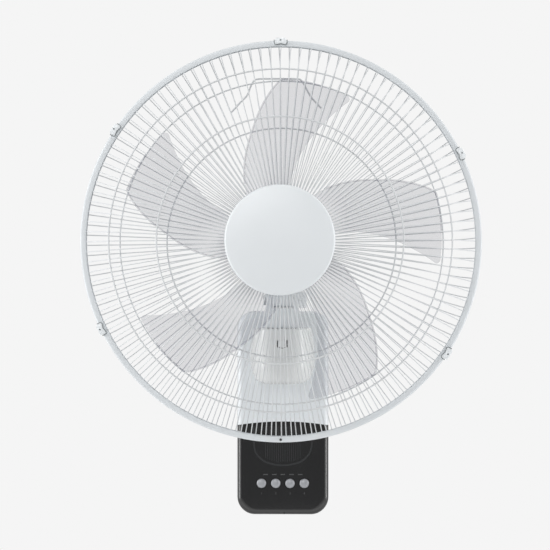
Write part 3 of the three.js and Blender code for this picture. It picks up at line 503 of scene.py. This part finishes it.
def box_shell(name):
    outer = shell_form(name, 0, BASE_SPLIT, -BASE_DEPTH, BASE_EDGE)
    front = SHELL_WALL - BASE_DEPTH
    inner = shell_form("inside", SHELL_WALL, BASE_SPLIT + 1, front, BASE_EDGE - SHELL_WALL)
    return boolean(outer, inner)


def key_places():
    return [(i - (KEY_COUNT - 1) / 2) * KEY_PITCH for i in range(KEY_COUNT)]


def key_caps():
    """Round keys with a flat skirt and a domed face."""
    skirt, dome_height = 2.8, 2.4
    for number, x in enumerate(key_places(), 1):
        profile = [(0, KEY_BACK), (KEY_RADIUS, KEY_BACK), (KEY_RADIUS, KEY_FRONT + skirt)]
        for t in (0.1 * k for k in range(1, 16)):
            profile.append((KEY_RADIUS * math.cos(t), KEY_FRONT + dome_height * (1 - math.sin(t))))
        profile.append((0, KEY_FRONT))
        key = turned(f"key_cap_{number}", profile, 48, centre=(x, 0, KEY_Z))
        finish_piece(key, KEY_SILVER, f"key_{number}", "silver_key", f"key_{number}", sharp=50)


def wall_box():
    """The cover, open behind the turret, and the panel with key holes, the cord's way in and a slit."""
    cover = boolean(box_shell("front_cover_shell"), below_seam(SEAM_GAP))
    boolean(cover, box_object((-22, 22), (-80, -50), (51, 91)))
    finish_piece(cover, WHITE, "base", "white_gloss", "front_cover")
    panel = boolean(box_shell("control_panel_shell"), below_seam(0), "INTERSECT")
    for x in key_places():
        boolean(panel, rod(KEY_RADIUS + 0.3, -70, -50, centre=(x, 0, KEY_Z)))
    boolean(panel, rod(5.8, -130, -110, "Z", (0, -36, 0), 32))
    boolean(panel, box_object((1.2, 2), (-63, -56.5), (-126, -119.4)))
    finish_piece(panel, BLACK, "base", "black_gloss", "control_panel")
    key_caps()


def printed_number(text, x, z, size=4):
    """A flat number on the panel, centred at x."""
    curve = bpy.data.curves.new("number", "FONT")
    curve.body = text
    curve.size = size * MM
    curve.extrude = PRINT_HALF * MM
    curve.align_x = "CENTER"
    solid = placed("number", curve)
    mesh = evaluated_mesh(solid)
    bpy.data.objects.remove(solid)
    place = Vector((x, -BASE_DEPTH - 0.02, z)) * MM
    mesh.transform(Matrix.Translation(place) @ Matrix.Rotation(math.pi / 2, 4, "X"))
    return placed("number", mesh)


def panel_marks():
    """Plain numbers under the keys and five small bars above them, as thin print."""
    parts = [printed_number(str(i), x, KEY_Z - 13.2) for i, x in enumerate(key_places(), 1)]
    bars, bar_pitch, bar_half = 5, 10.4, 2.7
    depth, height = (-BASE_DEPTH - 0.05, -BASE_DEPTH + 0.05), (KEY_Z + 10.1, KEY_Z + 11.4)
    for i in range(bars):
        x = (i - (bars - 1) / 2) * bar_pitch
        parts.append(box_object((x - bar_half, x + bar_half), depth, height))
    finish_piece(joined("panel_marks", parts), PRINT, "base", "silver_key")


def panel_window():
    """Painted reflection of the guard in the glossy panel: a thin U-shaped line, round below, and fine
    upright bars inside it for the wires.
    """
    top, low = -16, -64.3
    depth = (-BASE_DEPTH - PRINT_HALF, -BASE_DEPTH + PRINT_HALF)
    edge = [(-36, top), (-36, -34), (-34.3, -46), (-29.5, -53.8), (-19, -61), (0, low)]
    edge += [(-x, z) for x, z in edge[-2::-1]]
    outer = [tuple(point) for point in spline(edge, 8)]
    inner = [(0.955 * x, top + 0.955 * (z - top)) for x, z in outer]
    parts = [prism("outline", outer + inner[::-1], *depth)]
    bars, bar_pitch, bar_half = 17, 2.6, 0.4
    for i in range(bars):
        x = (i - (bars - 1) / 2) * bar_pitch
        parts.append(box_object((x - bar_half, x + bar_half), depth, (low + 5 + x * x / 90, top)))
    # The painted reflection of the guard's lower edge and wires lies on the panel's face.
    finish_piece(joined("panel_window", parts), PAINTED_REFLECTION, "base", "black_gloss")


# ------------------------------------------------------------------ neck


def turret_profile(inset, roof):
    """Half the turret's section: a round belly that narrows to a flat roof."""
    radius = TURRET_RADIUS - inset
    low = TURRET_BOTTOM + inset
    side = [(0.62 * radius, low), (0.86 * radius, low + 6), (radius, low + 24), (0.985 * radius, low + 40)]
    side.append((0.94 * radius, roof - 5))
    wall = [tuple(point) for point in spline(side, 6)]
    return [(0, low), *wall, (0.925 * radius, roof - 1.4), (0.89 * radius, roof), (0, roof)]


def cap_outline(grow):
    """The small U-shaped tab in the turret's front, square above and round below."""
    half = NECK_CAP_HALF + grow
    points = [(half, NECK_CAP_Z + half), (-half, NECK_CAP_Z + half)]
    for k in range(13):
        a = math.pi + math.pi * k / 12
        z = NECK_CAP_Z - half + 3 + min(half, 3 + grow) * math.sin(a)
        points.append((half * math.cos(a), z))
    return points


def neck():
    centre = (0, SWIVEL_Y, 0)
    housing = turned("neck_turret", turret_profile(0, TURRET_TOP), axis="Z", centre=centre)
    inside = turret_profile(SHELL_WALL, TURRET_TOP - 2.7)
    boolean(housing, turned("inside", inside, axis="Z", centre=centre))
    boolean(housing, rod(13.6, 90, 120, "Z", centre))
    boolean(housing, box_object((-50, 50), (-62.3, 0), (20, 120)))
    boolean(housing, prism("recess", cap_outline(0.35), -135, -122))
    slot_half, slot_reach = 1, 4
    for x in (-5.2, 5.2):
        height = (NECK_CAP_Z - slot_reach, NECK_CAP_Z + slot_reach)
        boolean(housing, box_object((x - slot_half, x + slot_half), (-135, -120), height))
    # The turret takes the darker copy of the white plastic: painted shade.
    finish_piece(housing, SHADED_NECK_WHITE, "base", "white_gloss", "neck_housing")
    tab = turned("neck_tab", turret_profile(0.4, TURRET_TOP), axis="Z", centre=centre)
    boolean(tab, prism("tab", cap_outline(0), -135, -124.8), "INTERSECT")
    finish_piece(tab, SHADED_NECK_WHITE, "base", "white_gloss", "neck_cap")


def yoke():
    """The column above the turret with its fork, and the spigot below it."""
    foot_half, foot_height, foot = 17, 7.6, TURRET_TOP + 0.45
    fork_radius, column_half, slot_half = 9, 19.3, 12.8
    shoulder = PIVOT_Z - fork_radius
    side = [(-foot_half, foot), (foot_half, foot), (foot_half, foot + foot_height), (fork_radius, shoulder)]
    side += arc(fork_radius, 0, 180, 24, (0, PIVOT_Z))
    side += [(-fork_radius, shoulder), (-foot_half, foot + foot_height)]
    column = prism("swivel_column", side, -column_half, column_half)
    column.data.transform(Matrix.Rotation(-math.pi / 2, 4, "Z"))
    boolean(column, box_object((-slot_half, slot_half), (-20, 20), (shoulder - 0.6, PIVOT_Z + 20)))
    bevel(column, 1.3)
    boolean(column, rod(PIN_HOLE, -30, 30, "X", (0, 0, PIVOT_Z)))
    boolean(column, rod(15.6, foot - 1, COLUMN_BOTTOM, "Z"))
    column.data.transform(Matrix.Translation((0, SWIVEL_Y * MM, 0)))
    spigot = rod(10, GEAR_BOTTOM - 2, COLUMN_BOTTOM + 0.5, "Z", (0, SWIVEL_Y, 0))
    boolean(column, spigot, "UNION")
    finish_piece(column, WHITE, "swivel", "white_gloss", "swivel_yoke")


def knob():
    """The tilt knob at the fork's right side, with eight shallow grips."""
    count, grips, grip_depth = 96, 8, 0.9
    rings = []
    for x, radius in ((19.6, 8.8), (20.4, 9.5), (27.2, 9.5), (28.3, 8.7), (28.6, 7.6)):
        points = []
        for a in (TAU * i / count for i in range(count)):
            r = radius - grip_depth * max(0, math.cos(grips * a)) ** 3
            points.append((x, SWIVEL_Y + r * math.cos(a), PIVOT_Z + r * math.sin(a)))
        rings.append(points)
    made = ringed("tilt_knob_grip", rings)
    boolean(made, rod(PIN_HOLE, 18, 24.4, "X", (0, SWIVEL_Y, PIVOT_Z)))
    finish_piece(made, WHITE, "swivel", "white_gloss", "tilt_knob")


# ------------------------------------------------------------------ motor


def motor_rear():
    """The rear shell, with two circles of vent slots in its end."""
    seam, end = MOTOR_SEAM + MOTOR_SEAM_GAP / 2, MOTOR_REAR - SHELL_WALL
    inner = MOTOR_RADIUS - SHELL_WALL
    outside = [(0, MOTOR_REAR), (MOTOR_RADIUS, MOTOR_REAR, 17), (MOTOR_RADIUS, seam)]
    inside = [(inner, seam), (inner, end, 14.6), (0, end)]
    made = turned("motor_rear_shell", rounded(outside, 8) + rounded(inside, 8))
    for radius, count in ((22, 10), (34, 16)):
        for i in range(count):
            a = TAU * (i + 0.5) / count
            slot = box_object((-1.3, 1.3), (-75, -60), (-4.5, 4.5))
            place = Vector((radius * math.sin(a), 0, AXIS_Z + radius * math.cos(a))) * MM
            slot.data.transform(Matrix.Translation(place) @ Matrix.Rotation(a, 4, "Y"))
            boolean(made, slot)
    finish_piece(made, WHITE, "head", "white_gloss", "motor_rear_cover")


def motor_front():
    seam, end = MOTOR_SEAM - MOTOR_SEAM_GAP / 2, MOTOR_FRONT + SHELL_WALL
    inner = MOTOR_RADIUS - SHELL_WALL
    section = [
        (MOTOR_RADIUS, seam), (MOTOR_RADIUS, MOTOR_FRONT, 8), (BOSS_RADIUS, MOTOR_FRONT, 1.5),
        (BOSS_RADIUS, BOSS_FRONT, 1), (SHAFT_HOLE, BOSS_FRONT), (SHAFT_HOLE, end),
        (45, end), (inner, -179), (inner, seam),
    ]
    made = turned("motor_front_shell", rounded(section, 5, loop=True), loop=True)
    finish_piece(made, WHITE, "head", "white_gloss", "motor_front_cover")


def guard_nut():
    """The ring nut that holds the rear guard on the motor, with twelve grips."""
    bore, radius, back, front = BOSS_RADIUS + 0.3, 38, -189.8, -199.7
    section = [(bore, back), (radius, back), (radius, back - 4, 1), (32, front, 1), (bore, front)]
    made = turned("guard_nut_ring", rounded(section, 3, loop=True), loop=True)
    grips, grip_radius = 12, 38.6
    for i in range(grips):
        a = TAU * i / grips
        centre = (grip_radius * math.sin(a), 0, AXIS_Z + grip_radius * math.cos(a))
        boolean(made, rod(2.2, -205, -185, "Y", centre, 16))
    finish_piece(made, WHITE, "head", "white_gloss", "guard_nut")


# ------------------------------------------------------------------ guards


def ring_mesh(radius, y, wire, segments=180):
    points = []
    for i in range(segments):
        a = TAU * i / segments
        points.append((radius * math.cos(a), y, AXIS_Z + radius * math.sin(a)))
    return tube_mesh(points, wire, closed=True)


def radial_wires(profile, phase, twist, lean, wire=0.58):
    """The radial wires of one guard, along a profile of (radius, y) points.

    Near the rim they turn a little round the axis, by degrees of twist, and by degrees of lean they crowd
    towards one side.
    """
    line = spline(profile, 4)
    meshes = []
    for i in range(WIRES):
        points = []
        for radius, y in line:
            near = max(0.0, (radius - 188) / 24)
            a = TAU * (i + phase) / WIRES
            a += math.radians(lean) * (1 - math.sin(a)) / 2 + math.radians(twist) * near**1.6
            points.append((radius * math.cos(a), y, AXIS_Z + radius * math.sin(a)))
        meshes.append(tube_mesh(points, wire, 6))
    return meshes


def front_guard():
    """Domed wires from the badge to the rim, on five rings. Each ring has its radius, y and wire radius."""
    profile = [(46.5, -339.3), (80, -337.2), (128, -331), (158, -322.5), (180, -311)]
    profile += [(197, -292), (205.6, -276), (208.6, -269.8), (209.3, -267.4), (EDGE_RING, -266.3)]
    rings = [(GUARD_RINGS[0], -331.9, 0.85), (GUARD_RINGS[1], -311.9, 0.85), (47.5, -340.2, 1.1)]
    rings += [(52.5, -339.6, 1.1), (EDGE_RING, -266.5, 1.2)]
    meshes = radial_wires(profile, 0.0, -0.1, 0.3) + [ring_mesh(*ring) for ring in rings]
    made = merged("front_guard_wires", meshes)
    finish_piece(made, WIRE, "head", "coated_wire", "front_guard", sharp=60)


def rear_guard():
    """A flatter basket, welded to a plate that the guard nut clamps."""
    profile = [(27, -188.4), (40, -188.4), (80, -194), (128, -201.6), (160, -204.5), (180, -208)]
    profile += [(199, -226), (208, -250), (EDGE_RING, -263.6)]
    rings = [(GUARD_RINGS[0], -200.6, 0.85), (GUARD_RINGS[1], -207, 0.85), (27, -188.4, 1.1)]
    rings += [(39, -188.4, 1.1), (EDGE_RING, -263.5, 1.2)]
    meshes = radial_wires(profile, 0.1, 0.3, 1.0) + [ring_mesh(*ring) for ring in rings]
    wires = merged("rear_guard_wires", meshes)
    plate = turned("plate", [(27, -189), (39, -189), (39, -187.8), (27, -187.8)], loop=True)
    made = joined("rear_guard_wires", [wires, plate])
    finish_piece(made, WIRE, "head", "coated_wire", "rear_guard", sharp=60)


def handle():
    """The bow-shaped wire at the rear guard's top. It follows the guard's slope between its two rings."""
    bow = [(-56.5, 145), (-46, 156.5), (-38, 165), (-33.5, 176), (-30, 181), (-24, 182.6), (-3, 182.8)]
    bow += [(18, 182.6), (22.5, 180.4), (26, 175), (32, 164), (36, 159), (44.6, 150)]
    inner, outer = GUARD_RINGS
    inner_y, outer_y = -199, -205.4
    points = []
    for x, z in bow:
        share = min((math.hypot(x, z) - inner) / (outer - inner), 1)
        points.append((x, inner_y + (outer_y - inner_y) * share, AXIS_Z + z))
    made = merged("rear_guard_bow", [tube_mesh(spline(points, 4), 1.0)])
    finish_piece(made, WIRE, "head", "coated_wire", "guard_handle", sharp=60)


def ring():
    """The hollow plastic ring that holds both guards' edges."""
    inner, wall = RIM_RADIUS - RIM_BAND, RIM_RADIUS - RIM_WALL
    front, rear = RIM_Y - RIM_HALF, RIM_Y + RIM_HALF
    front_wall, rear_wall = front + RIM_WALL, rear - RIM_WALL
    section = [
        (inner, front, 0.6), (RIM_RADIUS, front, 2.2), (RIM_RADIUS, rear, 2.2), (inner, rear, 0.6),
        (inner, rear_wall), (wall, rear_wall), (wall, front_wall), (inner, front_wall),
    ]
    made = turned("guard_ring_band", rounded(section, 4, loop=True), 240, loop=True)
    finish_piece(made, RIM_WHITE, "head", "white_gloss", "guard_ring")


def clip(number, degrees):
    """A clip that grips the ring from outside: a rounded saddle, with a dark grey tube along its inner lip
    as painted shadow under the lip.
    """
    reach = RIM_HALF + 1.9
    low, high = RIM_RADIUS - 5, RIM_RADIUS + 2.6
    turn = Matrix.Translation((0, 0, AXIS_Z * MM)) @ Matrix.Rotation(math.radians(degrees), 4, "Y")

    section = [
        (-6.9, low, 1.6), (0, low + 1.4, 1.5), (6.9, low, 1.6), (7, low + 3.2, 1),
        (5.2, high, 1.4), (-5.2, high, 1.4), (-7, low + 3.2, 1),
    ]
    body = prism(f"clip_saddle_{number}", rounded(section, 4, loop=True), RIM_Y - reach, RIM_Y + reach)
    bevel(body, 0.5, 2, 50)
    room = (RIM_Y - RIM_HALF - 0.3, RIM_Y + RIM_HALF + 0.3)
    boolean(body, box_object((-9, 9), room, (RIM_RADIUS - 9, RIM_RADIUS + 0.35)))
    boolean(body, rod(0.9, RIM_Y - 10, RIM_Y - 4, "Y", (0, 0, RIM_RADIUS + 0.2), 20))
    body.data.transform(turn)
    finish_piece(body, CLIP_WHITE, "head", "white_gloss", f"ring_clip_{number}")

    # A dark grey tube along the inner lip, as painted shadow under it.
    y = RIM_Y - reach + 0.1
    right = [(5.4, y, low + 0.2), (6.9, y, low + 2.6), (6.9, y, RIM_RADIUS + 0.4)]
    left = [(-x, y, z) for x, y, z in right[::-1]]
    line = spline([*left, (0, y, low + 1.2), *right], 5)
    lip_shadow = merged(f"clip_lip_shadow_{number}", [tube_mesh(line, 0.42)])
    lip_shadow.data.transform(turn)
    finish_piece(lip_shadow, LIP_SHADOW_GREY, "head", "white_gloss")


def lock_screw():
    """The small screw at the bottom of the ring, with a straight slot."""
    front, back = -270.7, -269.9
    z = AXIS_Z - RIM_RADIUS + 3.25
    profile = [(0, front), (1.4, front, 0.4), (1.4, back), (0, back)]
    screw = turned("lock_screw_head", rounded(profile, 3), 32, centre=(0, 0, z))
    boolean(screw, box_object((-2.5, 2.5), (-273, front + 0.3), (z - 0.25, z + 0.25)))
    finish_piece(screw, DARK, "head", "plated_steel", "ring_lock_screw")


def badge():
    """The plain disc on the front guard, slightly domed, with a rim at the back that grips the wires."""
    back, wall = BADGE_BACK, 1.6
    section = [
        (0, back - 6), (30, back - 5.4), (48, back - 4.2), (55.6, back - 2.8), (BADGE_RADIUS, back, 1.2),
        (48, back), (47.2, back), (47.2, back + 4), (45.2, back + 4), (45.2, back - wall), (0, back - wall),
    ]
    made = turned("badge_disc", rounded(section, 4), 144)
    finish_piece(made, BADGE, "head", "white_gloss", "front_badge")


# ------------------------------------------------------------------ fan


def blade_grid(turn, chords=12):
    """Points of one blade's middle surface, in rows from hub to tip."""
    bulge = 3
    rows = []
    for radius, trailing, leading, height in spline(STATIONS, 4):
        row = []
        for k in range(chords + 1):
            u = k / chords
            a = math.radians(trailing + (leading - trailing) * u) + turn
            y = BLADE_Y + (u - 0.5) * height + bulge * math.sin(math.pi * u)
            row.append((radius * math.cos(a), y, AXIS_Z + radius * math.sin(a)))
        rows.append(row)
    return rows


def blade_meshes(turn):
    """One blade as a thin closed sheet, with a bead along its trailing edge and tip."""
    rows = blade_grid(turn)
    count, width = len(rows), len(rows[0])
    verts = [(x, y + off, z) for off in (-BLADE_HALF, BLADE_HALF) for row in rows for x, y, z in row]
    faces = []
    back = count * width
    for j in range(count - 1):
        for k in range(width - 1):
            a = j * width + k
            faces.append([a, a + 1, a + width + 1, a + width])
            faces.append([back + a, back + a + width, back + a + width + 1, back + a + 1])
    rim = [j * width for j in range(count)] + [(count - 1) * width + k for k in range(1, width)]
    rim += [j * width + width - 1 for j in range(count - 2, -1, -1)] + list(range(width - 2, 0, -1))
    for n, a in enumerate(rim):
        b = rim[(n + 1) % len(rim)]
        faces.append([a, b, back + b, back + a])
    bead = [row[0] for row in rows[6:]] + rows[-1][1:8]
    return [(verts, faces), tube_mesh(bead, 1.15)]


def fan():
    """The blades on a hub that is open behind, with a slot for the drive pin."""
    meshes = []
    for i in range(BLADES):
        meshes.extend(blade_meshes(TAU * i / BLADES))
    blades = merged("fan_blades", meshes)
    inner, web, boss = HUB_RADIUS - 2.5, HUB_FRONT + 7.5, 9
    section = [
        (HUB_BORE, HUB_FRONT), (HUB_RADIUS, HUB_FRONT, 5), (HUB_RADIUS, HUB_BACK), (inner, HUB_BACK),
        (inner, web, 2), (boss, web), (boss, HUB_BACK), (HUB_BORE, HUB_BACK),
    ]
    hub = turned("hub", rounded(section, 4, loop=True), loop=True)
    boolean(hub, box_object((-10, 10), (-244.4, -240), (AXIS_Z - 1.8, AXIS_Z + 1.8)))
    made = joined("fan_blades", [blades, hub])
    finish_piece(made, BLADE, "rotor", "clear_blade", "fan_blade")


def blade_nut():
    """The nut on the shaft's end, with ten grips."""
    back, radius = HUB_FRONT - 0.3, 16
    profile = [(0, back), (radius, back), (radius, back - 8, 2), (6, back - 15, 2), (0, back - 15)]
    made = turned("blade_nut", rounded(profile, 4), 64)
    grips, grip_radius = 10, 16.5
    for i in range(grips):
        a = TAU * i / grips
        centre = (grip_radius * math.sin(a), 0, AXIS_Z + grip_radius * math.cos(a))
        boolean(made, rod(1.6, -300, -280, "Y", centre, 12))
    boolean(made, rod(HUB_BORE, -292.3, -280, "Y", (0, 0, AXIS_Z), 32))
    finish_piece(made, WHITE, "rotor", "white_gloss", "blade_cap")


# ------------------------------------------------------------------ stage, light and camera


def aim(thing, target):
    way = Vector(target) - thing.location
    thing.rotation_mode = "QUATERNION"
    thing.rotation_quaternion = way.to_track_quat("-Z", "Y")


def photo_camera():
    """1.7 m in front of the ring, a little to its right and below it."""
    camera = bpy.data.cameras.new("camera")
    camera.sensor_width = 36
    camera.lens = 103.3
    made = placed("camera", camera)
    made.location = (0.021, -1.964, 0.1645)
    aim(made, (-0.0062, -0.265, 0.166))
    bpy.context.scene.camera = made


def floor_material():
    """Matt paint that passes into the colour behind it towards the floor's rim."""
    material = node_material("floor", (0.74, 0.74, 0.74), 0.7, grain=60, tint=0.005)
    nodes, links = material.node_tree.nodes, material.node_tree.links
    length = nodes.new("ShaderNodeVectorMath")
    length.operation = "LENGTH"
    links.new(node_of(material, "TEX_COORD").outputs["Object"], length.inputs[0])
    fade = nodes.new("ShaderNodeMapRange")
    fade.interpolation_type = "SMOOTHSTEP"
    set_sockets(fade, From_Min=0.35 * FLOOR_RADIUS, From_Max=0.95 * FLOOR_RADIUS)
    links.new(length.outputs["Value"], fade.inputs["Value"])
    path = nodes.new("ShaderNodeLightPath")
    seen = nodes.new("ShaderNodeMath")
    seen.operation = "MULTIPLY"
    links.new(fade.outputs["Result"], seen.inputs[0])
    links.new(path.outputs["Is Camera Ray"], seen.inputs[1])
    glow = nodes.new("ShaderNodeEmission")
    set_sockets(glow, Color=BACKDROP)
    mix = nodes.new("ShaderNodeMixShader")
    links.new(seen.outputs["Value"], mix.inputs["Fac"])
    links.new(nodes["Principled BSDF"].outputs["BSDF"], mix.inputs[1])
    links.new(glow.outputs["Emission"], mix.inputs[2])
    links.new(mix.outputs["Shader"], nodes["Material Output"].inputs["Surface"])
    return material


def floor():
    bpy.ops.mesh.primitive_circle_add(
        vertices=96, radius=FLOOR_RADIUS, fill_type="NGON", location=(0, -0.2, -0.62)
    )
    made = bpy.context.object
    made.name = "floor"
    made.data.materials.append(floor_material())


def sky():
    """A weak even fill, and the light grey backdrop where the camera sees it, also through clear parts."""
    world = bpy.data.worlds.new("studio")
    bpy.context.scene.world = world
    world.use_nodes = True
    nodes, links = world.node_tree.nodes, world.node_tree.links
    fill = nodes["Background"]
    set_sockets(fill, Color=(1, 1, 1, 1), Strength=0.33)
    seen = nodes.new("ShaderNodeBackground")
    set_sockets(seen, Color=BACKDROP, Strength=1.0)
    path = nodes.new("ShaderNodeLightPath")
    either = nodes.new("ShaderNodeMath")
    either.operation = "MAXIMUM"
    links.new(path.outputs["Is Camera Ray"], either.inputs[0])
    links.new(path.outputs["Is Transmission Ray"], either.inputs[1])
    mix = nodes.new("ShaderNodeMixShader")
    links.new(either.outputs["Value"], mix.inputs["Fac"])
    links.new(fill.outputs["Background"], mix.inputs[1])
    links.new(seen.outputs["Background"], mix.inputs[2])
    links.new(mix.outputs["Shader"], nodes["World Output"].inputs["Surface"])


def soft_light(name, place, target, size, power):
    lamp = bpy.data.lights.new(name, "AREA")
    lamp.shape = "RECTANGLE"
    lamp.size, lamp.size_y = size
    lamp.energy = power
    made = placed(name, lamp)
    made.location = place
    made.visible_camera = False
    aim(made, target)


def studio():
    bpy.context.scene.view_settings.view_transform = "Standard"
    sky()
    floor()
    middle = (0, -0.2, 0.18)
    soft_light("left", (-1.6, -0.5, 0.25), (0, -0.5, 0.25), (2.2, 2.4), 22)
    soft_light("left strip", (-1.3, -0.36, 0.15), (0, -0.1, 0.1), (0.14, 1.2), 4)
    soft_light("right", (1.6, -0.5, 0.25), (0, -0.5, 0.25), (2.2, 2.4), 20)
    soft_light("right strip", (1.3, -0.36, 0.15), (0, -0.1, 0.1), (0.14, 1.2), 4)
    soft_light("top", (0, -0.6, 2.0), middle, (1.6, 1.4), 12)
    soft_light("below", (0, -0.4, -0.6), (0, -0.1, -0.1), (1.4, 0.6), 1)
    soft_light("front", (-0.5, -2.7, 1.1), middle, (1.3, 1.3), 21)
    soft_light("back", (0.6, 1.8, 1.2), middle, (1.6, 1.2), 8)


photo_camera()
studio()
wall_box()
panel_marks()
panel_window()
neck()
yoke()
knob()
motor_rear()
motor_front()
guard_nut()
front_guard()
rear_guard()
handle()
ring()
for clip_number, clip_degrees in enumerate(CLIP_ANGLES, 1):
    clip(clip_number, clip_degrees)
lock_screw()
badge()
fan()
blade_nut()
